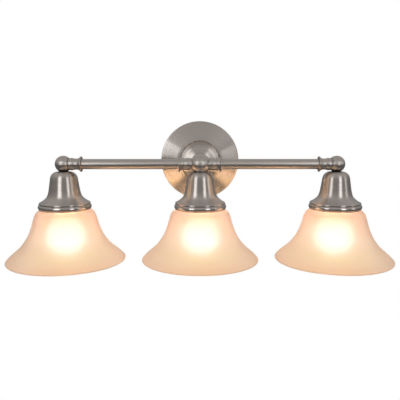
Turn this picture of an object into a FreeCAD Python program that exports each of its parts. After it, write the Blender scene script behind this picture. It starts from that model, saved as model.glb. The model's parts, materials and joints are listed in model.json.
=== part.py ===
import FreeCAD, Part
import math
import os

# Three-light vanity bar, millimetres.
# Origin: centre of the mounting plate's back face, on the wall.
# +X runs along the bar, +Y points into the wall, +Z is up. The bar stands off at Y = -reach.
# Threads are plain cylinders at their major diameter.

# ---- driving dimensions ----
lamp_spacing = 212.5        # from one lamp centre to the next
reach = 125.0               # wall to the bar's axis
tube_r = 15.9 / 2           # 5/8 in tube
tube_wall = 1.2
thread_gap = 0.05           # radial gap of an unscrewing thread
clearance = 0.3             # between pieces that move apart
past = 80.0                 # reach of a cut that goes right out of its piece

# wall side
canopy_r = 69.85            # 5-1/2 in backplate
canopy_sheet = 1.2
canopy_step_r = 34.0        # groove between the cone and the inner dome
canopy_step_y = 25.0
canopy_top_y = 31.2         # flat centre of the dome
plate_r = 50.8
plate_sheet = 1.6
box_screw_pitch = 79.375    # mid-way between the 2-3/4 in and 3-1/2 in box patterns
box_slot_length = 14.3
box_slot_r = 2.4
stud_pitch = 60.0
stud_r = 2.08               # No. 8-32
wire_hole_r = 12.5
stem_thread_r = 6.85        # 1/4 IP nipple
stem_bore_r = 4.62

# turned joints
hub_ball_r = 16.0
end_ball_r = 13.0
hub_shoulder = 12.3         # ball centre to the coupling's shoulder
end_shoulder = 7.8
hub_flange = 32.5           # ball centre to the flange's peak
end_flange = 27.6
spigot_r = 6.0
spigot_bore_r = 4.5
spigot_length = 4.0
flange_r = 12.0
waist_back = 6.6            # flange's peak to the coupling's waist
tube_back = 5.8             # flange's peak to the end of the tube inside
foot_thread = 6.5           # how far the nipple, and then the tube, enter the stem foot

# lamps, heights below the bar's axis
cup_top = -11.6
cup_sheet = 1.0
lamp_thread_r = 4.95        # 1/8 IP nipple
lamp_bore_r = 3.3
body_top = -29.0            # lampholder
body_ceiling = -35.0
skirt_r = 19.2
skirt_bottom = -67.5
seat = -58.0                # underside of the lampholder's flange
glass_wall = 3.2
shade_hole_r = 21.0         # 1-5/8 in fitter
ring_height = 5.0
ring_r = 27.0
bulb_base_r = 13.1          # E26
bulb_tip = -36.5
bulb_bottom = -144.5
bulb_r = 30.0

# leads
wire_r = 0.95
lead_offset = 1.9
lead_bend = 5.6

UP = FreeCAD.Vector(0, 0, 1)
OUT = FreeCAD.Vector(0, -1, 0)
lamps = {"left": -lamp_spacing, "centre": 0.0, "right": lamp_spacing}


# ---- tools ----
def section_point(point):
    return FreeCAD.Vector(point[0], 0, point[1])


def smooth(points):
    """One smooth curve through (radius, height) points."""
    curve = Part.BSplineCurve()
    curve.interpolate([section_point(point) for point in points])
    return curve


def inside(points, wall):
    """The same curve's points, moved towards the axis by the wall thickness."""
    curve = smooth(points)
    moved = []
    for point in points:
        tangent = curve.tangent(curve.parameter(section_point(point)))[0]
        normal = FreeCAD.Vector(tangent.z, 0, -tangent.x)
        if normal.x > 0:
            normal = -normal
        moved.append((point[0] + wall * normal.x, point[1] + wall * normal.z))
    return moved


def outline(start, *steps):
    """A closed section from (radius, height) points.

    A step is a point, ("arc", through, end) or ("curve", points...)."""
    here = start
    edges = []
    for step in steps:
        if step[0] == "arc":
            arc = Part.Arc(section_point(here), section_point(step[1]), section_point(step[2]))
            edges.append(arc.toShape())
            here = step[2]
        elif step[0] == "curve":
            edges.append(smooth([here, *step[1:]]).toShape())
            here = step[-1]
        else:
            edges.append(Part.makeLine(section_point(here), section_point(step)))
            here = step
    edges.append(Part.makeLine(section_point(here), section_point(start)))
    return Part.Face(Part.Wire(edges))


def put(shape, place, toward=UP):
    shape.Placement = FreeCAD.Placement(FreeCAD.Vector(*place), FreeCAD.Rotation(UP, toward))
    return shape


def turned(section, place=(0, 0, 0), toward=UP):
    """A section turned about its own axis, which then points toward a direction."""
    return put(section.revolve(FreeCAD.Vector(), UP, 360), place, toward)


def rod(radius, low, high, place=(0, 0, 0), toward=UP):
    return put(Part.makeCylinder(radius, high - low, FreeCAD.Vector(0, 0, low)), place, toward)


def pipe(outer, inner, low, high, place=(0, 0, 0), toward=UP):
    section = outline((inner, low), (outer, low), (outer, high), (inner, high))
    return turned(section, place, toward)


def hex_nut(across, bore, low, high, place, toward=UP):
    corner = across / math.sqrt(3)
    corners = [
        FreeCAD.Vector(corner * math.cos(math.radians(60 * i)), corner * math.sin(math.radians(60 * i)), low)
        for i in range(7)
    ]
    nut = Part.Face(Part.makePolygon(corners)).extrude(FreeCAD.Vector(0, 0, high - low))
    hole = Part.makeCylinder(bore, high - low, FreeCAD.Vector(0, 0, low))
    return put(nut.cut(hole), place, toward)


def bent_wire(points, bends, radius):
    """Round wire along straight runs; bends holds the arc radius at each inner point."""
    points = [FreeCAD.Vector(*point) for point in points]
    edges = []
    here = points[0]
    for before, corner, after, bend in zip(points, points[1:], points[2:], bends):
        back = (before - corner).normalize()
        ahead = (after - corner).normalize()
        half_turn = (math.pi - back.getAngle(ahead)) / 2
        reach_back = bend * math.tan(half_turn)
        start = corner + back * reach_back
        end = corner + ahead * reach_back
        middle = (back + ahead).normalize() * (bend / math.cos(half_turn) - bend)
        edges.append(Part.makeLine(here, start))
        edges.append(Part.Arc(start, corner + middle, end).toShape())
        here = end
    edges.append(Part.makeLine(here, points[-1]))
    direction = points[1] - points[0]
    circle = Part.Wire(Part.makeCircle(radius, points[0], direction))
    return Part.Wire(edges).makePipeShell([circle], True, True)


def export(name, *solids):
    shape = solids[0] if len(solids) == 1 else Part.makeCompound(list(solids))
    shape.exportStep(os.path.join("parts", name + ".step"))


# ---- wall side ----
def mounting_plate():
    plate = rod(plate_r, 0, plate_sheet, toward=OUT)
    cuts = [rod(wire_hole_r, -1, plate_sheet + 1, toward=OUT), ground_screw_hole()]
    for side in (-1, 1):
        cuts.append(rod(stud_r, -1, plate_sheet + 1, (side * stud_pitch / 2, 0, 0), OUT))
        half = box_slot_length / 2 - box_slot_r
        z = side * box_screw_pitch / 2
        slot = Part.makeBox(2 * box_slot_r, plate_sheet + 2, 2 * half)
        slot.translate(FreeCAD.Vector(-box_slot_r, -plate_sheet - 1, z - half))
        for end in (-half, half):
            slot = slot.fuse(rod(box_slot_r, -1, plate_sheet + 1, (0, 0, z + end), OUT))
        cuts.append(slot)
    return plate.cut(cuts).removeSplitter()


ground_place = (0, 0, -22.0)
ground_head = 3.2


def ground_screw_hole():
    return rod(stud_r, -1, plate_sheet + 1, ground_place, OUT)


def ground_screw():
    head = outline(
        (0, 0), (stud_r, 0), (stud_r, plate_sheet), (4.0, plate_sheet),
        (4.0, plate_sheet + ground_head - 0.8), ("arc", (3.7, plate_sheet + ground_head - 0.2),
                                                  (3.0, plate_sheet + ground_head)),
        (0, plate_sheet + ground_head),
    )
    screw = turned(head, ground_place, OUT)
    slot = Part.makeBox(9, 1.0, 1.0)
    slot.translate(FreeCAD.Vector(-4.5, -plate_sheet - ground_head, ground_place[2] - 2.9))
    return screw.cut(slot)


def canopy():
    """Spun backplate: rolled rim, shallow hollow cone, step ring and inner dome."""
    sheet = canopy_sheet
    step_r = canopy_step_r
    step_y = canopy_step_y
    cone = [(canopy_r - 1.2, 2.4), (56.0, 10.2), (41.6, 19.6)]
    rise = (step_r + 1.6, step_y + 0.2)
    dome = [(step_r - 0.8, step_y - 0.1), (26.0, step_y + 1.2), (19.6, 29.0), (14.0, canopy_top_y)]
    section = outline(
        (canopy_r - 3.0, 0), (canopy_r, 0), (canopy_r, 1.3),
        ("arc", (canopy_r - 0.3, 2.0), cone[0]), ("curve", *cone[1:]),
        ("arc", (38.2, 22.2), rise),
        ("arc", (step_r + 0.9, step_y + 0.1), (step_r + 0.4, step_y - 0.5)),
        (step_r - 0.2, step_y - 0.7), dome[0],
        ("curve", *dome[1:]), (stem_thread_r + thread_gap, canopy_top_y),
        (stem_thread_r + thread_gap, canopy_top_y - sheet), (13.8, canopy_top_y - sheet),
        ("curve", (19.1, 29.0 - sheet), (25.7, step_y + 1.2 - sheet), (step_r - 0.9, step_y - 0.2 - sheet)),
        (step_r, step_y - 0.7 - sheet), (37.2, step_y - 3.6),
        (40.9, 18.4), ("curve", (55.4, 9.0), (canopy_r - 3.0, 1.2)),
    )
    shell = turned(section, toward=OUT)
    holes = [
        rod(stud_r + 0.15, step_y - 8, step_y + 8, (side * stud_pitch / 2, 0, 0), OUT) for side in (-1, 1)
    ]
    return shell.cut(holes)


nut_seat_y = canopy_step_y + 1.4


def studs():
    return [rod(stud_r, 0, nut_seat_y + 5.0, (side * stud_pitch / 2, 0, 0), OUT) for side in (-1, 1)]


def canopy_nuts():
    """Small domed nuts over the studs."""
    low = nut_seat_y
    dome_r = 3.6
    dome_y = low + 4.2
    slant = dome_r * math.sin(math.pi / 4)
    section = outline(
        (stud_r, low), (4.0, low), (4.0, low + 1.2), (dome_r, low + 1.8), (dome_r, dome_y),
        ("arc", (slant, dome_y + slant), (0, dome_y + dome_r)), (0, low + 5.0), (stud_r, low + 5.0),
    )
    return [turned(section, (side * stud_pitch / 2, 0, 0), OUT) for side in (-1, 1)]


foot_low = canopy_top_y
foot_high = foot_low + 14.0
nipple_inside = canopy_top_y - 9.5
washer_low = canopy_top_y - canopy_sheet - 1.2
stem_nut_low = washer_low - 4.0


def stem_foot():
    """Flared foot that seats on the canopy and takes the stem tube."""
    section = outline(
        (stem_thread_r, foot_low), (flange_r + 2, foot_low), (flange_r + 2, foot_low + 1.8),
        ("arc", (flange_r + 1.6, foot_low + 2.8), (flange_r + 0.6, foot_low + 3.2)),
        ("curve", (10.1, foot_low + 6.2), (9.2, foot_high - 2.4)),
        ("arc", (9.5, foot_high - 1.2), (9.0, foot_high)),
        (tube_r, foot_high), (tube_r, foot_low + foot_thread), (stem_thread_r, foot_low + foot_thread),
    )
    return turned(section, toward=OUT)


def terminal_block():
    """Push-in connector that joins the six leads to the supply wires."""
    block = Part.makeBox(16, 10, 11)
    block.translate(FreeCAD.Vector(-8, -19, -6.5))
    entries = [rod(1.6, 8, 13, (x, 0, -1.0), OUT) for x in (-4.5, 0, 4.5)]
    edges = [edge for edge in block.Edges if abs(edge.tangentAt(0).y) > 0.9]
    return block.makeFillet(1.2, edges).cut(entries)


# ---- turned joints of the bar ----
def ball(radius, place, shoulders):
    """Ball with a flat, threaded seat below and a seat for each coupling."""
    shape = Part.makeSphere(radius)
    below = rod(past, cup_top - past, cup_top)
    shape = shape.cut(below).cut(rod(lamp_thread_r, -radius, 0))
    for direction, shoulder in shoulders:
        bore = rod(spigot_r, 0, radius, toward=direction)
        shape = shape.cut(bore).cut(rod(past, shoulder, past, toward=direction))
    bend_space = Part.makeSphere(spigot_r)
    return put(shape.cut(bend_space).removeSplitter(), place)


def coupling(shoulder, flange, place, toward):
    """Sleeve with a bulge, a waist and a flared flange; the tube enters the flange end."""
    sleeve = flange - end_flange + shoulder - end_shoulder
    bulge = shoulder + 5.4
    waist = flange - waist_back
    tube_end = flange - tube_back
    face = flange + 0.9
    section = outline(
        (spigot_bore_r, shoulder - spigot_length), (spigot_r, shoulder - spigot_length),
        (spigot_r, shoulder),
        (8.6, shoulder), ("arc", (9.6, bulge), (8.9, bulge + 3.6 + 0.2 * sleeve)),
        ("curve", (8.6, waist), (9.6, flange - 3.2), (flange_r - 0.1, flange - 0.7)),
        ("arc", (flange_r + 0.1, flange), (flange_r - 0.3, face - 0.2)),
        (flange_r - 1.2, face), (tube_r, face), (tube_r, tube_end), (spigot_bore_r, tube_end),
    )
    return turned(section, place, toward)


def tube(hub_end, far_end, toward):
    return pipe(tube_r, tube_r - tube_wall, hub_end, far_end, (0, -reach, 0), toward)


# ---- one lamp, below its ball; heights are from the bar's axis ----
cup_side = [(20.6, -20.4), (21.3, -24.0), (22.0, -29.0), (23.1, -36.0), (24.5, -43.8),
            (27.0, -50.6), (31.0, -54.8), (36.0, -58.5), (37.3, -59.4)]


def cup(place):
    """Spun fitter cup: domed top, bell side, a thin bead and a deep rolled rim below it."""
    inner = inside(cup_side, cup_sheet)
    section = outline(
        (lamp_thread_r + thread_gap, cup_top), (9.5, cup_top),
        ("arc", (17.56, -14.94), cup_side[0]), ("curve", *cup_side[1:]),
        ("arc", (39.3, -60.6), (38.7, -62.4)), ("arc", (40.8, -65.6), (39.6, -69.6)),
        ("arc", (39.45, -70.5), (39.0, -70.8)), (38.6, -70.8), (38.6, -65.4), (37.7, -62.8),
        (37.3, -61.6), inner[-1], ("curve", *reversed(inner[:-1])),
        ("arc", (16.85, -15.65), (9.5, cup_top - cup_sheet)),
        (lamp_thread_r + thread_gap, cup_top - cup_sheet),
    )
    return turned(section, place)


def socket_cap(place):
    top = cup_top - cup_sheet - 3.4
    section = outline(
        (lamp_thread_r, top), (7.5, top), (7.5, top - 2), (14.2, top - 2),
        ("arc", (15.1, top - 2.4), (15.5, top - 3.3)), (15.5, body_top - 2.5), (14.3, body_top - 2.5),
        (14.3, top - 3.4), (lamp_thread_r, top - 3.4),
    )
    return turned(section, place)


terminal_r = 4.6            # lampholder's axis to each terminal
terminal_depth = 4.5


def socket_body(place, along):
    """Moulded lampholder: spigot, body, flange for the shade and threaded skirt."""
    section = outline(
        (1.5, body_top), (14.3, body_top), (14.3, body_top - 2.5), (17.0, body_top - 2.5),
        (17.0, -37.0), (skirt_r, -40.0), (skirt_r, seat + 3.0), (24.2, seat + 3.0),
        (25.0, seat + 2.2), (25.0, seat), (skirt_r, seat), (skirt_r, skirt_bottom + 0.8),
        (skirt_r - 0.8, skirt_bottom), (15.6, skirt_bottom), (14.0, skirt_bottom + 2.4),
        (14.0, body_ceiling), (1.5, body_ceiling),
    )
    body = turned(section)
    holes = [
        rod(1.4, body_top - terminal_depth, body_top + 1, along * side * terminal_r) for side in (-1, 1)
    ]
    return put(body.cut(holes), place)


def terminal_screws(place, along):
    section = outline(
        (0, body_top - terminal_depth), (1.4, body_top - terminal_depth), (1.4, body_top), (2.5, body_top),
        (2.5, body_top + 1.6), (0, body_top + 1.6),
    )
    return [turned(section, FreeCAD.Vector(*place) + along * side * terminal_r) for side in (-1, 1)]


def socket_shell(place):
    top = body_ceiling
    section = outline(
        (8.0, top), (14.0, top), (14.0, -62.0), (13.4, -62.0), (13.4, top - 0.6), (8.0, top - 0.6),
    )
    return turned(section, place)


def socket_contact(place):
    section = outline(
        (0, body_top), (1.5, body_top), (1.5, body_ceiling), (4.6, body_ceiling),
        (4.6, body_ceiling - 0.7), (0, bulb_tip + clearance),
    )
    return turned(section, place)


neck_r = 37.6
shade_corner_r = 6.8
bell = [(41.0, -72.7), (44.9, -75.8), (48.0, -83.0), (51.3, -95.0), (55.8, -107.0), (62.0, -118.5),
        (71.6, -130.5), (86.4, -143.4), (91.2, -148.6)]


def shade(place):
    """Blown bell: flat collar with the fitter hole, neck inside the cup, flared mouth."""
    top = seat - clearance
    wall = glass_wall
    inner = inside(bell, wall)
    inner_neck_r = neck_r - wall
    corner = (neck_r - shade_corner_r, top - shade_corner_r)
    slant = math.sin(math.pi / 4)
    outer_slant = shade_corner_r * slant
    inner_slant = (shade_corner_r - wall) * slant
    section = outline(
        (shade_hole_r, top), (corner[0], top),
        ("arc", (corner[0] + outer_slant, corner[1] + outer_slant), (neck_r, corner[1])),
        (neck_r, -69.4), ("arc", (38.5, -71.6), bell[0]), ("curve", *bell[1:]),
        ("arc", (91.9, -151.6), (90.0, -152.6)), ("arc", (88.6, -152.4), inner[-1]),
        ("curve", *reversed(inner[:-1])), ("arc", (inner_neck_r + 1.4, -74.3), (inner_neck_r, -71.2)),
        (inner_neck_r, corner[1]),
        ("arc", (corner[0] + inner_slant, corner[1] + inner_slant), (corner[0], top - wall)),
        (shade_hole_r, top - wall),
    )
    return turned(section, place)


def shade_ring(place):
    """Retaining ring on the skirt's thread, notched for the fingers."""
    top = seat - 2 * clearance - glass_wall
    low = top - ring_height
    section = outline(
        (skirt_r + thread_gap, low), (ring_r - 1, low), (ring_r, low + 1), (ring_r, top - 0.6),
        (ring_r - 0.6, top), (skirt_r + thread_gap, top),
    )
    ring = turned(section)
    notches = 16
    cuts = []
    for i in range(notches):
        angle = 2 * math.pi * i / notches
        centre = ((ring_r + 0.7) * math.cos(angle), (ring_r + 0.7) * math.sin(angle), 0)
        cuts.append(rod(1.6, low - 1, top + 1, centre))
    return put(ring.cut(cuts), place)


base_low = -62.6
envelope = [(12.8, -62.9), (13.4, -67.5), (15.9, -74.5), (20.2, -83.5), (25.4, -93.5), (29.1, -104.0)]


def bulb_glass(place):
    """A19 envelope, open at the neck."""
    wall = 0.8
    centre = bulb_bottom + bulb_r
    inner = inside(envelope, wall)
    low = (0, bulb_bottom)
    section = outline(
        envelope[0], ("curve", *envelope[1:], (bulb_r, centre)),
        ("arc", (bulb_r * math.sin(math.pi / 4), centre - bulb_r * math.cos(math.pi / 4)), low),
        (0, bulb_bottom + wall),
        ("arc", ((bulb_r - wall) * math.sin(math.pi / 4), centre - (bulb_r - wall) * math.cos(math.pi / 4)),
         (bulb_r - wall, centre)),
        ("curve", *reversed(inner)),
    )
    return turned(section, place)


def bulb_base(place):
    section = outline(
        (12.6, base_low), (bulb_base_r, base_low), (bulb_base_r, -41.5), (9.6, -38.3), (6.4, -38.3),
        (6.4, -38.9), (9.3, -38.9), (12.5, -41.9), (12.5, base_low),
    )
    return turned(section, place)


def bulb_contact(place):
    section = outline(
        (0, -39.8), (6.4, -39.8), (6.4, -38.1), (4.4, -37.3), (2.6, bulb_tip), (0, bulb_tip),
    )
    return turned(section, place)


# ---- leads ----
def lead_run(x, side):
    """Route of one lead from its lampholder terminal to the terminal block.

    side is -1 for the live lead and 1 for the neutral one."""
    end_y = -19.0
    start_z = body_top + 1.6
    turn_z = start_z + 1.3
    top_z = cup_top - cup_sheet - 6.6
    step_bend = 2.6
    if x == 0:
        xs = side * lead_offset
        low = -2.2
        route = [(side * terminal_r, -reach, start_z), (side * terminal_r, -reach, turn_z),
                 (xs, -reach, top_z), (xs, -reach, low), (xs, end_y, low)]
        return route, [step_bend, step_bend, lead_bend]
    y = -reach - side * lead_offset
    terminal_y = -reach - side * terminal_r
    end_x = math.copysign(3.15 if side < 0 else 1.05, x)
    route = [(x, terminal_y, start_z), (x, terminal_y, turn_z), (x, y, top_z), (x, y, 0),
             (end_x, y, 0), (end_x, end_y, 0)]
    return route, [step_bend, step_bend, lead_bend, lead_bend + 0.5 * side]


def leads(side):
    return [bent_wire(*lead_run(x, side), wire_r) for x in lamps.values()]


def ground_wire():
    x, _, z = ground_place
    nut_flat = -19.0 / 2
    bend_y = -(stem_nut_low + 2.0)
    route = [(x, -plate_sheet - ground_head, z), (x, bend_y, z), (x, bend_y, nut_flat)]
    return bent_wire(route, [5.0], 0.8)


# ---- build ----
def build_wall_side():
    export("mounting_plate", mounting_plate())
    export("ground_screw", ground_screw())
    export("ground_wire", ground_wire())
    export("mounting_studs", *studs())
    export("canopy", canopy())
    export("canopy_nuts", *canopy_nuts())
    export("supply_terminal_block", terminal_block())
    foot_thread_end = foot_low + foot_thread
    export("stem_nipple", pipe(stem_thread_r, stem_bore_r, nipple_inside, foot_thread_end, toward=OUT))
    export("stem_washer", pipe(11.0, stem_thread_r, washer_low, washer_low + 1.2, toward=OUT))
    export("stem_nut", hex_nut(19.0, stem_thread_r, stem_nut_low, washer_low, (0, 0, 0), OUT))
    export("stem_foot", stem_foot())


def build_bar():
    hub = (0, -reach, 0)
    left = FreeCAD.Vector(-1, 0, 0)
    right = FreeCAD.Vector(1, 0, 0)
    wall = FreeCAD.Vector(0, 1, 0)
    hub_seat = hub_flange - tube_back
    end_seat = lamp_spacing - end_flange + tube_back
    export("hub_ball", ball(hub_ball_r, hub, [(d, hub_shoulder) for d in (left, right, wall)]))
    export("stem_coupling", coupling(hub_shoulder, hub_flange, hub, wall))
    export("stem_tube", tube(hub_seat, reach - foot_low - foot_thread, wall))
    for name, away in (("left", left), ("right", right)):
        end = FreeCAD.Vector(*hub) + away * lamp_spacing
        export(name + "_hub_coupling", coupling(hub_shoulder, hub_flange, hub, away))
        export(name + "_tube", tube(hub_seat, end_seat, away))
        export(name + "_end_coupling", coupling(end_shoulder, end_flange, end, -away))
        export(name + "_ball", ball(end_ball_r, end, [(-away, end_shoulder)]))


def build_lamps():
    nipples = []
    nuts = []
    screws = []
    for name, x in lamps.items():
        place = (x, -reach, 0)
        along = FreeCAD.Vector(1, 0, 0) if x == 0 else FreeCAD.Vector(0, 1, 0)
        thread_top = -7.0 if x == 0 else -6.3
        nipples.append(pipe(lamp_thread_r, lamp_bore_r, cup_top - cup_sheet - 7.0, thread_top, place))
        nuts.append(hex_nut(14.0, lamp_thread_r, cup_top - cup_sheet - 3.0, cup_top - cup_sheet, place))
        screws += terminal_screws(place, along)
        export(name + "_cup", cup(place))
        export(name + "_socket_cap", socket_cap(place))
        export(name + "_socket_body", socket_body(place, along))
        export(name + "_socket_shell", socket_shell(place))
        export(name + "_socket_contact", socket_contact(place))
        export(name + "_shade", shade(place))
        export(name + "_shade_ring", shade_ring(place))
        export(name + "_bulb_glass", bulb_glass(place))
        export(name + "_bulb_base", bulb_base(place))
        export(name + "_bulb_contact", bulb_contact(place))
    export("lamp_nipples", *nipples)
    export("lamp_nuts", *nuts)
    export("terminal_screws", *screws)
    export("live_leads", *leads(-1))
    export("neutral_leads", *leads(1))


os.makedirs("parts", exist_ok=True)
build_wall_side()
build_bar()
build_lamps()
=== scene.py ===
import json
import math

import bmesh
import bpy
from mathutils import Matrix, Vector
from mathutils.geometry import interpolate_bezier


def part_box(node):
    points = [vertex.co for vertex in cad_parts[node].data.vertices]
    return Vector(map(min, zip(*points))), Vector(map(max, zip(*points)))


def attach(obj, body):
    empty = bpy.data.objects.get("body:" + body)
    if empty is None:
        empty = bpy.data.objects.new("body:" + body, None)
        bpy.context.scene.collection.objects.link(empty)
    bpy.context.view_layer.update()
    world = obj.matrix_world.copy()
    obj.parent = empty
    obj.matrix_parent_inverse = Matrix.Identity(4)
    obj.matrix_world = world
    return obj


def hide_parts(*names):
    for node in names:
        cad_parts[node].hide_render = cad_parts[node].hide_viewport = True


# Three-light vanity bar in brushed nickel with lit bell shades. Metres, in the frame's own axes:
# +X along the bar, +Y into the wall, +Z up.

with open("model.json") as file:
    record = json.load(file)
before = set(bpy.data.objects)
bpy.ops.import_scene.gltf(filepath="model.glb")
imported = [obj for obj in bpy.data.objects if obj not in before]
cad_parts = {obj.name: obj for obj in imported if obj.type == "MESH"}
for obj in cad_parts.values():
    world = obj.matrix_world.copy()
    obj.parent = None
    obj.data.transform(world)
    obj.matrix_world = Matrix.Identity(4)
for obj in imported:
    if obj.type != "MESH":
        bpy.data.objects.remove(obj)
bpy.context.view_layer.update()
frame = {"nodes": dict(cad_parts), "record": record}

MM = 0.001
LAMPS = ("left", "centre", "right")
FINE = 192                       # steps round the backplate and the bells
NEAT = 160                       # round a cup
SMALL = 96                       # round a bulb


def middle(node):
    low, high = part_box(node)
    return (low + high) / 2


def span(node):
    low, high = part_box(node)
    return high - low


AXIS = middle("left_tube")
AXIS.x = 0.0
LAMP_AXIS = {name: Vector((middle(name + "_cup").x, AXIS.y, AXIS.z)) for name in LAMPS}
TOWARD = {
    "up": Vector((0, 0, 1)),
    "out": Vector((0, -1, 0)),
    "right": Vector((1, 0, 0)),
}
SLANT = math.sin(math.pi / 4)    # the middle of a quarter arc
GLOBE = 30.0                     # the bulb's globe radius and lowest point, in millimetres
BULB_LOW = -144.5

# ---- colours and light levels ----
NICKEL = (0.56, 0.52, 0.49)
NICKEL_DARK = (0.46, 0.425, 0.40)
BULB_GLOW = 3.5
# painted glow on the shade glass, standing in for the bulb's light scattered in it
GLASS_GLOW = 0.31
PLATE_GLOW = 9                   # watts of warm light that each bulb throws on the backplate
NICKEL_GLOW = 3.4                # and on the bar and cups
GLOW_EDGE = (1.0, 0.80, 0.62)
GLOW_BANDS = (                   # the glass's painted glow at heights below the bar's axis
    (-0.156, (0.90, 0.54, 0.28)), (-0.145, (0.93, 0.57, 0.29)), (-0.135, (1.00, 0.82, 0.36)),
    (-0.125, (1.00, 0.82, 0.50)), (-0.115, (0.94, 0.78, 0.50)), (-0.105, (0.90, 0.66, 0.44)),
    (-0.095, (0.84, 0.45, 0.22)), (-0.085, (0.80, 0.28, 0.06)), (-0.072, (0.60, 0.22, 0.02)),
)


# ---- outlines: (radius, height) points in millimetres ----
def arc_points(start, through, end):
    """Points of the circle arc from start to end, without start."""
    a, b, c = (Vector(p) for p in (start, through, end))
    ab, ac = b - a, c - a
    cross = 2 * ab.cross(ac)
    centre = a + Vector((
        ac.y * ab.length_squared - ab.y * ac.length_squared,
        ab.x * ac.length_squared - ac.x * ab.length_squared,
    )) / cross
    first = math.atan2(a.y - centre.y, a.x - centre.x)
    turn = math.atan2(c.y - centre.y, c.x - centre.x) - first
    half = math.atan2(b.y - centre.y, b.x - centre.x) - first
    turn %= 2 * math.pi
    if half % (2 * math.pi) > turn:
        turn -= 2 * math.pi
    steps = max(3, math.ceil(abs(turn) / math.radians(9)))
    radius = (a - centre).length
    angles = [first + turn * i / steps for i in range(1, steps + 1)]
    return [(centre.x + radius * math.cos(t), centre.y + radius * math.sin(t)) for t in angles]


def curve_points(points, steps=7):
    """A smooth curve through all the points, without the first."""
    knots = [Vector((r, z, 0)) for r, z in points]
    ahead = 2 * knots[-1] - knots[-2]
    behind = 2 * knots[0] - knots[1]
    chain = [behind, *knots, ahead]
    made = []
    for before, a, b, after in zip(chain, chain[1:], chain[2:], chain[3:]):
        reach = (b - a).length / 3
        out = (b - before).normalized() * reach
        into = (after - a).normalized() * reach
        made += interpolate_bezier(a, a + out, b - into, b, steps + 1)[1:]
    return [(p.x, p.y) for p in made]


def outline(start, *steps):
    """A step is a point, ("arc", through, end) or ("curve", points...)."""
    points = [start]
    for step in steps:
        if step[0] == "arc":
            points += arc_points(points[-1], *step[1:])
        elif step[0] == "curve":
            points += curve_points([points[-1], *step[1:]])
        else:
            points.append(step)
    return points


def inside(points, wall):
    """The points of a curve moved towards the axis by the wall's thickness."""
    moved = []
    for i, here in enumerate(points):
        before = Vector(points[max(i - 1, 0)])
        after = Vector(points[min(i + 1, len(points) - 1)])
        along = (after - before).normalized()
        normal = Vector((along.y, -along.x))
        if normal.x > 0:
            normal = -normal
        moved.append((here[0] + wall * normal.x, here[1] + wall * normal.y))
    return moved


# ---- pieces ----
def finished(name, mesh_data, body, slot, material, *nodes):
    """The last steps of every new piece: object, finish, body and the CAD nodes it stands for."""
    mesh = bpy.data.meshes.new(name)
    bmesh.ops.remove_doubles(mesh_data, verts=mesh_data.verts, dist=1e-6)
    bmesh.ops.recalc_face_normals(mesh_data, faces=mesh_data.faces)
    mesh_data.to_mesh(mesh)
    mesh_data.free()
    mesh.shade_smooth()
    mesh.set_sharp_from_angle(angle=math.radians(32))
    piece = bpy.data.objects.new(name, mesh)
    bpy.context.scene.collection.objects.link(piece)
    mesh.materials.append(material)
    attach(piece, body)
    if nodes:
        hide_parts(*nodes)
    return piece


def turned(points, place, toward, steps=NEAT):
    """A closed outline spun about its own axis."""
    shape = bmesh.new()
    ring = [shape.verts.new((r * MM, 0, z * MM)) for r, z in points]
    edges = [shape.edges.new(pair) for pair in zip(ring, ring[1:] + ring[:1]) if pair[0] != pair[1]]
    on_axis = [e for e in edges if all(abs(v.co.x) < 1e-9 for v in e.verts)]
    bmesh.ops.delete(shape, geom=on_axis, context="EDGES_FACES")
    geom = shape.verts[:] + shape.edges[:]
    bmesh.ops.spin(
        shape, geom=geom, cent=(0, 0, 0), axis=(0, 0, 1), angle=2 * math.pi, steps=steps, use_merge=True,
    )
    turn = TOWARD["up"].rotation_difference(TOWARD[toward]).to_matrix().to_4x4()
    bmesh.ops.transform(shape, matrix=Matrix.Translation(place) @ turn, verts=shape.verts)
    return shape


def copy_of_node(node):
    """A node's own shape, whose loose triangles finished() joins."""
    shape = bmesh.new()
    shape.from_mesh(frame["nodes"][node].data)
    return shape


# ---- shader groups ----
def group(name, inputs, outputs):
    tree = bpy.data.node_groups.new(name, "ShaderNodeTree")
    for label, kind, value in inputs:
        socket = tree.interface.new_socket(name=label, in_out="INPUT", socket_type=kind)
        if value is not None:
            socket.default_value = value
    for label, kind in outputs:
        tree.interface.new_socket(name=label, in_out="OUTPUT", socket_type=kind)
    return tree, tree.nodes.new("NodeGroupInput"), tree.nodes.new("NodeGroupOutput")


def math_node(tree, operation, a, b=None):
    node = tree.nodes.new("ShaderNodeMath")
    node.operation = operation
    for socket, value in zip(node.inputs, (a, b)):
        if isinstance(value, bpy.types.NodeSocket):
            tree.links.new(value, socket)
        elif value is not None:
            socket.default_value = value
    return node.outputs[0]


def turned_position(tree, position):
    """Distance from the Z axis, angle about it and height."""
    split = tree.nodes.new("ShaderNodeSeparateXYZ")
    tree.links.new(position, split.inputs[0])
    x, y, z = split.outputs
    radius = math_node(tree, "SQRT", math_node(tree, "ADD", math_node(tree, "MULTIPLY", x, x),
                                               math_node(tree, "MULTIPLY", y, y)))
    return radius, math_node(tree, "ARCTAN2", y, x), z


def noise(tree, vector, scale, detail=2.0, roughness=0.5, distortion=0.0):
    node = tree.nodes.new("ShaderNodeTexNoise")
    node.inputs["Scale"].default_value = scale
    node.inputs["Detail"].default_value = detail
    node.inputs["Roughness"].default_value = roughness
    node.inputs["Distortion"].default_value = distortion
    tree.links.new(vector, node.inputs["Vector"])
    return node.outputs["Fac"]


def weighted(tree, *shares):
    """The sum of (value, weight) pairs."""
    total = None
    for value, weight in shares:
        share = math_node(tree, "MULTIPLY", value, weight)
        total = share if total is None else math_node(tree, "ADD", total, share)
    return total


def joined(tree, x, y, z):
    node = tree.nodes.new("ShaderNodeCombineXYZ")
    for socket, value in zip(node.inputs, (x, y, z)):
        if isinstance(value, bpy.types.NodeSocket):
            tree.links.new(value, socket)
        else:
            socket.default_value = value
    return node.outputs[0]


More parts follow.
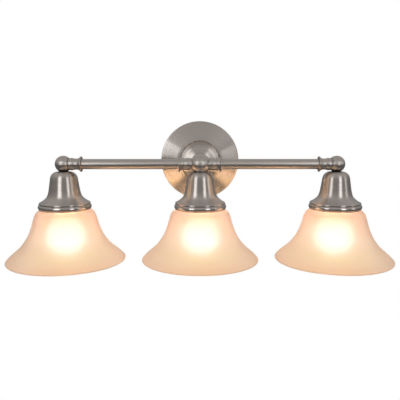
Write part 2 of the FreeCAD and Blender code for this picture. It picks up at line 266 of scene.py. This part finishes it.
def fitted(tree, value, low, high, to_low, to_high):
    node = tree.nodes.new("ShaderNodeMapRange")
    tree.links.new(value, node.inputs["Value"])
    for label, number in zip(("From Min", "From Max", "To Min", "To Max"), (low, high, to_low, to_high)):
        node.inputs[label].default_value = number
    return node.outputs[0]


def grain_group():
    """Fine rings left by brushing on a lathe, round the Z axis of the position given."""
    tree, given, out = group(
        "lathe brushing",
        [("Position", "NodeSocketVector", None)],
        [("Grain", "NodeSocketFloat"), ("Rings", "NodeSocketFloat")],
    )
    radius, angle, height = turned_position(tree, given.outputs["Position"])
    short = math_node(tree, "MULTIPLY", angle, 0.0009)
    long = math_node(tree, "MULTIPLY", angle, 0.0004)
    streaks = noise(tree, joined(tree, radius, short, height), 5200, 3.0, 0.6)
    rings = noise(tree, joined(tree, radius, long, height), 1300, 2.0)
    tree.links.new(streaks, out.inputs["Grain"])
    tree.links.new(rings, out.inputs["Rings"])
    return tree


def cloud_group():
    """Soft, large patches, as on lacquered metal or blown glass."""
    tree, given, out = group(
        "soft clouds",
        [("Position", "NodeSocketVector", None), ("Size", "NodeSocketFloat", 40.0)],
        [("Cloud", "NodeSocketFloat")],
    )
    node = tree.nodes.new("ShaderNodeTexNoise")
    node.inputs["Detail"].default_value = 2.0
    node.inputs["Distortion"].default_value = 0.6
    tree.links.new(given.outputs["Position"], node.inputs["Vector"])
    tree.links.new(given.outputs["Size"], node.inputs["Scale"])
    tree.links.new(node.outputs["Fac"], out.inputs["Cloud"])
    return tree


GRAIN = grain_group()
CLOUD = cloud_group()


# ---- materials ----
def plain(name, colour, roughness, metallic=0.0, **sockets):
    material = bpy.data.materials.new(name)
    material.use_nodes = True
    tree = material.node_tree
    shader = tree.nodes["Principled BSDF"]
    shader.inputs["Base Color"].default_value = (*colour, 1)
    shader.inputs["Roughness"].default_value = roughness
    shader.inputs["Metallic"].default_value = metallic
    for label, value in sockets.items():
        shader.inputs[label.replace("_", " ")].default_value = value
    return material, tree, shader


def position(tree, centre=(0, 0, 0), toward="up"):
    """Object coordinates with the piece's own axis as Z and its centre as the origin."""
    place = tree.nodes.new("ShaderNodeTexCoord").outputs["Object"]
    shift = tree.nodes.new("ShaderNodeVectorMath")
    shift.operation = "SUBTRACT"
    shift.inputs[1].default_value = centre
    tree.links.new(place, shift.inputs[0])
    turn = tree.nodes.new("ShaderNodeMapping")
    turn.vector_type = "POINT"
    turn.inputs["Rotation"].default_value = TOWARD[toward].rotation_difference(TOWARD["up"]).to_euler()
    tree.links.new(shift.outputs[0], turn.inputs["Vector"])
    return turn.outputs["Vector"]


def use(tree, made, **links):
    node = tree.nodes.new("ShaderNodeGroup")
    node.node_tree = made
    for label, value in links.items():
        if isinstance(value, bpy.types.NodeSocket):
            tree.links.new(value, node.inputs[label])
        else:
            node.inputs[label].default_value = value
    return node


def between(tree, factor, first, second):
    node = tree.nodes.new("ShaderNodeMix")
    node.data_type = "RGBA"
    tree.links.new(factor, node.inputs["Factor"])
    node.inputs["A"].default_value = (*first, 1)
    node.inputs["B"].default_value = (*second, 1)
    return node.outputs["Result"]


def banded(tree, value, bands):
    """A colour for each value, smooth between; bands run from low to high."""
    low, high = bands[0][0], bands[-1][0]
    ramp = tree.nodes.new("ShaderNodeValToRGB")
    tree.links.new(fitted(tree, value, low, high, 0, 1), ramp.inputs["Fac"])
    stops = ramp.color_ramp.elements
    stops[0].color = (*bands[0][1], 1)
    stops[1].color = (*bands[-1][1], 1)
    for number, colour in bands[1:-1]:
        stops.new((number - low) / (high - low)).color = (*colour, 1)
    return ramp.outputs["Color"]


def times(tree, colour, value):
    node = tree.nodes.new("ShaderNodeVectorMath")
    node.operation = "SCALE"
    tree.links.new(colour, node.inputs["Vector"])
    tree.links.new(value, node.inputs["Scale"])
    return node.outputs["Vector"]


def bump(tree, shader, height, strength, distance):
    node = tree.nodes.new("ShaderNodeBump")
    node.inputs["Strength"].default_value = strength
    node.inputs["Distance"].default_value = distance
    tree.links.new(height, node.inputs["Height"])
    tree.links.new(node.outputs["Normal"], shader.inputs["Normal"])


def brushed(name, colour, dark, roughness, centre, toward, rim_gloss_and_painted_shade=False):
    """Metal brushed in rings round an axis, with soft variation in its lacquer."""
    material, tree, shader = plain(name, colour, roughness, 1.0, Anisotropic=0.85, Anisotropic_Rotation=0.25)
    place = position(tree, centre, toward)
    grain = use(tree, GRAIN, Position=place).outputs
    cloud = use(tree, CLOUD, Position=place, Size=34.0).outputs["Cloud"]
    mixed = weighted(tree, (grain["Grain"], 0.45), (grain["Rings"], 0.35), (cloud, 0.2))
    tint = between(tree, fitted(tree, mixed, 0.3, 0.7, 0, 1), dark, colour)
    rough = fitted(tree, mixed, 0.3, 0.7, roughness * 1.18, roughness * 0.86)
    if rim_gloss_and_painted_shade:                 # burnished beads at the foot; painted shade darkens the colour near the axis, round the nipple at the top where the ball sits
        radius, _, height = turned_position(tree, place)
        rough = math_node(tree, "MULTIPLY", rough, fitted(tree, height, -0.0614, -0.0598, 0.55, 1.0))
        # painted shade: colour darkened within 12.5 mm of the cup's axis
        tint = times(tree, tint, fitted(tree, radius, 0.0090, 0.0125, 0.12, 1.0))
    tree.links.new(tint, shader.inputs["Base Color"])
    tree.links.new(rough, shader.inputs["Roughness"])
    tangent = tree.nodes.new("ShaderNodeTangent")
    tangent.direction_type = "RADIAL"
    tangent.axis = {"up": "Z", "out": "Y", "right": "X"}[toward]
    tree.links.new(tangent.outputs["Tangent"], shader.inputs["Tangent"])
    bump(tree, shader, grain["Grain"], 0.10, 0.00004)
    return material


def nickel(name, centre, toward, roughness=0.30, rim_gloss_and_painted_shade=False):
    return brushed(name, NICKEL, NICKEL_DARK, roughness, centre, toward, rim_gloss_and_painted_shade=rim_gloss_and_painted_shade)


def frosted_glass(name, lamp):
    """Pink-white glass, blown and etched: pale clouds and faint swirls round the bell, lit from within by the
    bulb, with a painted glow added.
    """
    material, tree, shader = plain(
        name, (0.98, 0.83, 0.70), 0.5, 0.0,
        IOR=1.45, Transmission_Weight=0.46, Emission_Strength=GLASS_GLOW,
    )
    place = position(tree, lamp)
    radius, angle, height = turned_position(tree, place)
    round_bell = joined(tree, math_node(tree, "MULTIPLY", angle, 0.012), radius, height)
    swirl = noise(tree, round_bell, 60, 3.0, 0.55, 0.4)
    cloud = use(tree, CLOUD, Position=place, Size=16.0).outputs["Cloud"]
    mixed = weighted(tree, (swirl, 0.5), (cloud, 0.5))
    tint = between(tree, fitted(tree, mixed, 0.35, 0.65, 0, 1), (0.97, 0.80, 0.66), (1.00, 0.87, 0.74))
    tree.links.new(tint, shader.inputs["Base Color"])
    tree.links.new(fitted(tree, cloud, 0.3, 0.7, 0.40, 0.46), shader.inputs["Roughness"])
    # Painted glow for the bulb's light scattered in the glass: brightest where the glass faces the eye,
    # dimmer and paler towards its outline.
    edge = tree.nodes.new("ShaderNodeLayerWeight")
    edge.inputs["Blend"].default_value = 0.5
    facing = edge.outputs["Facing"]
    strength = fitted(tree, facing, 0.10, 0.65, GLASS_GLOW, GLASS_GLOW * 0.3)
    tree.links.new(strength, shader.inputs["Emission Strength"])
    glow = tree.nodes.new("ShaderNodeMix")
    glow.data_type = "RGBA"
    tree.links.new(fitted(tree, facing, 0.15, 0.45, 0, 1), glow.inputs["Factor"])
    tree.links.new(banded(tree, height, GLOW_BANDS), glow.inputs["A"])
    glow.inputs["B"].default_value = (*GLOW_EDGE, 1)
    tree.links.new(glow.outputs["Result"], shader.inputs["Emission Color"])
    etched = noise(tree, place, 2600, 2.0)
    bump(tree, shader, etched, 0.06, 0.00006)
    return material


def lit_bulb(name, lamp):
    material, tree, shader = plain(
        name, (0.95, 0.93, 0.88), 0.35, 0.0, Emission_Strength=BULB_GLOW, Coat_Weight=0.4,
    )
    height = turned_position(tree, position(tree, lamp))[2]
    globe = fitted(tree, height, -0.076, -0.094, 0, 1)
    glow = between(tree, globe, (0.95, 0.58, 0.32), (0.95, 0.90, 1.12))
    tree.links.new(glow, shader.inputs["Emission Color"])
    return material


def mottled(name, dark, light, roughness, metallic=0.0, size=300.0, bumpy=0.05, **sockets):
    """A plain finish with a little variation in colour and gloss."""
    material, tree, shader = plain(name, light, roughness, metallic, **sockets)
    cloud = use(tree, CLOUD, Position=position(tree), Size=size).outputs["Cloud"]
    tint = between(tree, fitted(tree, cloud, 0.3, 0.7, 0, 1), dark, light)
    rough = fitted(tree, cloud, 0.3, 0.7, roughness * 1.2, roughness * 0.8)
    tree.links.new(tint, shader.inputs["Base Color"])
    tree.links.new(rough, shader.inputs["Roughness"])
    bump(tree, shader, cloud, bumpy, 0.0002)
    return material


bar_nickel = nickel("nickel bar", AXIS, "right")
wall_nickel = nickel("nickel backplate", (0, 0, AXIS.z), "out", 0.26)
cup_nickel = {name: nickel("nickel cup " + name, LAMP_AXIS[name], "up", rim_gloss_and_painted_shade=True) for name in LAMPS}
glass = {name: frosted_glass("peach glass " + name, LAMP_AXIS[name]) for name in LAMPS}
bulb = {name: lit_bulb("lit bulb " + name, LAMP_AXIS[name]) for name in LAMPS}
NODE_FINISH = {
    "zinc_steel": mottled("zinc plate", (0.50, 0.50, 0.47), (0.66, 0.66, 0.64), 0.34, 1.0, 420),
    "brass": mottled("brass", (0.62, 0.44, 0.18), (0.78, 0.60, 0.28), 0.3, 1.0, 380),
    "aluminium": mottled("aluminium", (0.66, 0.66, 0.66), (0.80, 0.80, 0.80), 0.28, 1.0, 300),
    "porcelain": mottled("porcelain", (0.80, 0.78, 0.72), (0.88, 0.86, 0.81), 0.2, 0.0, 120, Coat_Weight=0.5),
    "green_screw": mottled("green zinc", (0.03, 0.24, 0.08), (0.06, 0.36, 0.13), 0.35, 0.6),
    "copper": mottled("bare copper", (0.62, 0.27, 0.14), (0.86, 0.46, 0.28), 0.3, 1.0),
    "black_lead": mottled("black insulation", (0.02, 0.02, 0.02), (0.04, 0.04, 0.04), 0.45),
    "white_lead": mottled("white insulation", (0.74, 0.72, 0.66), (0.82, 0.81, 0.77), 0.45),
    "block_plastic": mottled("block plastic", (0.70, 0.70, 0.67), (0.80, 0.80, 0.78), 0.4),
    "black_insulator": mottled("black glass", (0.015, 0.015, 0.015), (0.03, 0.03, 0.03), 0.15),
}


# ---- wall side ----
def canopy():
    deep = span("canopy").y / MM
    radius = span("canopy").x / 2 / MM
    sheet = 1.2
    step_r, step_y = 34.0, 25.0
    boss_y = step_y + 1.2
    shoulder_y = 29.0
    hole = 6.9
    points = outline(
        (radius - 3.0, 0), (radius - 0.4, 0), ("arc", (radius, 0.6), (radius - 0.1, 1.3)),
        ("arc", (radius - 0.5, 2.0), (radius - 1.2, 2.4)), ("curve", (56.0, 10.2), (41.6, 19.6)),
        ("arc", (38.2, 22.2), (step_r + 1.6, step_y + 0.2)),
        ("arc", (step_r + 0.9, step_y + 0.1), (step_r + 0.4, step_y - 0.6)),
        ("arc", (step_r, step_y - 1.0), (step_r - 0.4, step_y - 0.6)),
        (step_r - 0.8, step_y - 0.1), ("curve", (26.0, boss_y), (19.6, shoulder_y), (14.0, deep)),
        (hole, deep), (hole, deep - sheet), (13.8, deep - sheet),
        ("curve", (19.1, shoulder_y - sheet), (25.7, boss_y - sheet), (step_r - 0.9, step_y - 0.2 - sheet)),
        (step_r, step_y - 0.9 - sheet), (37.2, step_y - 3.6), (40.9, 18.4),
        ("curve", (55.4, 9.0), (radius - 3.0, 1.2)),
    )
    shape = turned(points, Vector((0, 0, AXIS.z)), "out", FINE)
    return finished("stepped_backplate", shape, "fixture", "brushed_nickel", wall_nickel, "canopy")


# ---- lamps ----
CUP_SIDE = [(20.6, -20.4), (21.3, -24.0), (22.0, -29.0), (23.1, -36.0), (24.5, -43.8),
            (27.0, -50.6), (31.0, -54.8), (36.0, -58.5), (37.3, -59.4)]


def cup(name):
    top = -11.6
    sheet = 1.0
    side = [CUP_SIDE[0], *curve_points(CUP_SIDE)]
    inner = inside(side, sheet)
    points = outline((5.0, top), (9.5, top), ("arc", (17.56, -14.94), side[0])) + side[1:]
    points += outline(
        side[-1], ("arc", (39.3, -60.6), (38.7, -62.4)), ("arc", (40.8, -65.6), (39.6, -69.6)),
        ("arc", (39.45, -70.5), (39.0, -70.8)), (38.6, -70.8), (38.6, -65.4), (37.7, -62.8), (37.3, -61.6),
    )[1:]
    points += list(reversed(inner))
    points += outline(inner[0], ("arc", (16.85, -15.65), (9.5, top - sheet)), (5.0, top - sheet))[1:]
    shape = turned(points, LAMP_AXIS[name], "up")
    finished(name + "_fitter_cup", shape, "fixture", "brushed_nickel", cup_nickel[name], name + "_cup")


BELL = [(41.0, -72.7), (44.9, -75.8), (48.0, -83.0), (51.3, -95.0), (55.8, -107.0), (62.0, -118.5),
        (71.6, -130.5), (86.4, -143.4), (91.2, -148.6)]


def bell_shade(name):
    top = -58.3
    wall = 3.2
    neck = 37.6
    hole = 21.0
    corner = 6.8
    side = [BELL[0], *curve_points(BELL)]
    inner = inside(side, wall)
    inner_neck = neck - wall
    middle_r = neck - corner
    middle_z = top - corner
    points = outline(
        (hole, top), (middle_r, top),
        ("arc", (middle_r + corner * SLANT, middle_z + corner * SLANT), (neck, middle_z)),
        (neck, -69.4), ("arc", (38.5, -71.6), side[0]),
    ) + side[1:]
    rim = (90.0, -152.6)
    points += arc_points(side[-1], (91.9, -151.6), rim)
    points += arc_points(rim, (88.6, -152.4), inner[-1])
    points += list(reversed(inner[:-1]))
    low = corner - wall
    points += outline(
        inner[0], ("arc", (inner_neck + 1.4, -74.3), (inner_neck, -71.2)), (inner_neck, middle_z),
        ("arc", (middle_r + low * SLANT, middle_z + low * SLANT), (middle_r, top - wall)), (hole, top - wall),
    )[1:]
    shape = turned(points, LAMP_AXIS[name], "up", FINE)
    finished(name + "_bell_shade", shape, name + "_shade", "shade_glass", glass[name], name + "_shade")


def bulb_envelope(name):
    wall = 0.8
    centre = BULB_LOW + GLOBE
    core = GLOBE - wall
    neck = [(12.8, -62.9), (13.4, -67.5), (15.9, -74.5), (20.2, -83.5), (25.4, -93.5), (29.1, -104.0),
            (GLOBE, centre)]
    side = [neck[0], *curve_points(neck)]
    inner = inside(side, wall)
    points = side + arc_points(side[-1], (GLOBE * SLANT, centre - GLOBE * SLANT), (0, BULB_LOW))
    points += outline((0, BULB_LOW + wall), ("arc", (core * SLANT, centre - core * SLANT), inner[-1]))
    points += list(reversed(inner[:-1]))
    shape = turned(points, LAMP_AXIS[name], "up", SMALL)
    finished(name + "_bulb_envelope", shape, name + "_bulb", "lamp_glass", bulb[name], name + "_bulb_glass")


# ---- everything else keeps its node's shape, joined so that it shades smoothly ----
def keep_nodes():
    slots = {row["node"]: row["material_slot"] for row in frame["record"]["subparts"]}
    for body, nodes in frame["record"]["behaviour"]["bodies"].items():
        for node in nodes:
            if frame["nodes"][node].hide_render:
                continue
            slot = slots[node]
            if slot != "brushed_nickel":
                finish = NODE_FINISH[slot]
            elif node.startswith(("stem", "canopy")):
                finish = wall_nickel
            else:
                finish = bar_nickel
            finished(node + "_piece", copy_of_node(node), body, slot, finish, node)


backplate = canopy()
for lamp in LAMPS:
    cup(lamp)
    bell_shade(lamp)
    bulb_envelope(lamp)
keep_nodes()


# ---- stage ----
def stage_floor():
    shape = bmesh.new()
    bmesh.ops.create_grid(shape, x_segments=8, y_segments=8, size=9.0)
    bmesh.ops.translate(shape, vec=(0, 2.0, -0.85), verts=shape.verts)
    mesh = bpy.data.meshes.new("floor")
    shape.to_mesh(mesh)
    shape.free()
    floor = bpy.data.objects.new("floor", mesh)
    bpy.context.scene.collection.objects.link(floor)
    material, tree, shader = plain("pale floor", (0.30, 0.30, 0.30), 0.9)
    glow = tree.nodes.new("ShaderNodeEmission")
    glow.inputs["Color"].default_value = (1, 1, 1, 1)
    seen = tree.nodes.new("ShaderNodeLightPath")
    mix = tree.nodes.new("ShaderNodeMixShader")
    tree.links.new(seen.outputs["Is Camera Ray"], mix.inputs["Fac"])
    tree.links.new(shader.outputs[0], mix.inputs[1])
    tree.links.new(glow.outputs[0], mix.inputs[2])
    tree.links.new(mix.outputs[0], tree.nodes["Material Output"].inputs["Surface"])
    mesh.materials.append(material)


def studio_world():
    """White behind the object; a dim grey room, darker low down, in its reflections."""
    world = bpy.data.worlds.new("studio")
    bpy.context.scene.world = world
    world.use_nodes = True
    tree = world.node_tree
    room = tree.nodes["Background"]
    direction = tree.nodes.new("ShaderNodeTexCoord").outputs["Generated"]
    split = tree.nodes.new("ShaderNodeSeparateXYZ")
    tree.links.new(direction, split.inputs[0])
    ramp = tree.nodes.new("ShaderNodeValToRGB")
    tree.links.new(fitted(tree, split.outputs["Z"], -1, 1, 0, 1), ramp.inputs["Fac"])
    stops = ramp.color_ramp.elements
    stops[0].position, stops[0].color = 0.25, (0.05, 0.045, 0.042, 1)
    stops[1].position, stops[1].color = 0.98, (0.50, 0.485, 0.475, 1)
    for height, level in ((0.46, 0.14), (0.53, 0.24), (0.64, 0.42), (0.88, 0.58)):
        stops.new(height).color = (level, level * 0.97, level * 0.945, 1)
    tree.links.new(ramp.outputs["Color"], room.inputs["Color"])
    white = tree.nodes.new("ShaderNodeBackground")
    white.inputs["Color"].default_value = (1, 1, 1, 1)
    seen = tree.nodes.new("ShaderNodeLightPath")
    mix = tree.nodes.new("ShaderNodeMixShader")
    tree.links.new(seen.outputs["Is Camera Ray"], mix.inputs["Fac"])
    tree.links.new(room.outputs[0], mix.inputs[1])
    tree.links.new(white.outputs[0], mix.inputs[2])
    tree.links.new(mix.outputs[0], tree.nodes["World Output"].inputs["Surface"])


def softbox(name, place, aim, width, height, power):
    light = bpy.data.lights.new(name, "AREA")
    light.shape = "RECTANGLE"
    light.size, light.size_y = width, height
    light.energy = power
    holder = bpy.data.objects.new(name, light)
    holder.location = place
    holder.rotation_mode = "QUATERNION"
    holder.rotation_quaternion = (Vector(aim) - Vector(place)).to_track_quat("-Z", "Y")
    holder.visible_camera = False
    bpy.context.scene.collection.objects.link(holder)
    return holder


LAMP_LINE = Vector((0, AXIS.y, 0))


def around(azimuth, distance, height):
    """A place round the lamps; azimuth 0 is straight out from the wall, positive to the right."""
    turn = math.radians(azimuth)
    return LAMP_LINE + Vector((distance * math.sin(turn), -distance * math.cos(turn), height))


def gathered(name, pieces):
    """A collection for light linking."""
    made = bpy.data.collections.new(name)
    for piece in pieces:
        made.objects.link(piece)
    return made


def lamp_glow(name, power, receivers, blockers):
    """The lit shade as the nickel sees it."""
    light = bpy.data.lights.new(name + " glow", "POINT")
    light.shadow_soft_size = 0.045
    light.energy = power
    light.color = (1.0, 0.60, 0.28)
    holder = bpy.data.objects.new(light.name, light)
    holder.location = LAMP_AXIS[name] + Vector((0, 0, (BULB_LOW + GLOBE) * MM))
    holder.visible_camera = False
    bpy.context.scene.collection.objects.link(holder)
    holder.light_linking.receiver_collection = receivers
    holder.light_linking.blocker_collection = blockers


def camera():
    data = bpy.data.cameras.new("camera")
    data.sensor_width = 36.0
    data.lens = 42.34
    holder = bpy.data.objects.new("camera", data)
    holder.location = (-0.0036, -0.8578, 0.0423)
    yaw, pitch = 0.00447, -0.1339
    forward = Vector((math.sin(yaw) * math.cos(pitch), math.cos(yaw) * math.cos(pitch), math.sin(pitch)))
    holder.rotation_mode = "QUATERNION"
    holder.rotation_quaternion = forward.to_track_quat("-Z", "Y")
    bpy.context.scene.collection.objects.link(holder)
    bpy.context.scene.camera = holder


stage_floor()
studio_world()
nickel_pieces = [
    o for o in bpy.data.objects
    if o.type == "MESH" and o.active_material and o.active_material.name.startswith("nickel")
]
all_nickel = gathered("nickel", nickel_pieces)
plate_only = gathered("backplate", [backplate])
bar_and_cups = gathered("bar and cups", [o for o in nickel_pieces if o != backplate])

for side, azimuth, distance, height, width, tall, power in (
    ("left", -38, 0.62, 0.14, 0.24, 0.45, 0.68),
    ("right", 34, 0.85, 0.16, 0.26, 0.62, 1.0),
    ("far right", 72, 1.2, 0.16, 0.30, 0.55, 0.5),
):
    box = softbox(side + " box", around(azimuth, distance, height), LAMP_LINE, width, tall, power)
    box.light_linking.receiver_collection = all_nickel
plate_box = softbox("backplate box", around(-64, 0.9, 0.24), (-0.05, 0, 0), 0.22, 0.40, 0.70)
plate_box.light_linking.receiver_collection = plate_only
for lamp in LAMPS:
    lamp_glow(lamp, NICKEL_GLOW, bar_and_cups, all_nickel)
    lamp_glow(lamp, PLATE_GLOW, plate_only, all_nickel)
camera()
bpy.context.scene.view_settings.view_transform = "Standard"
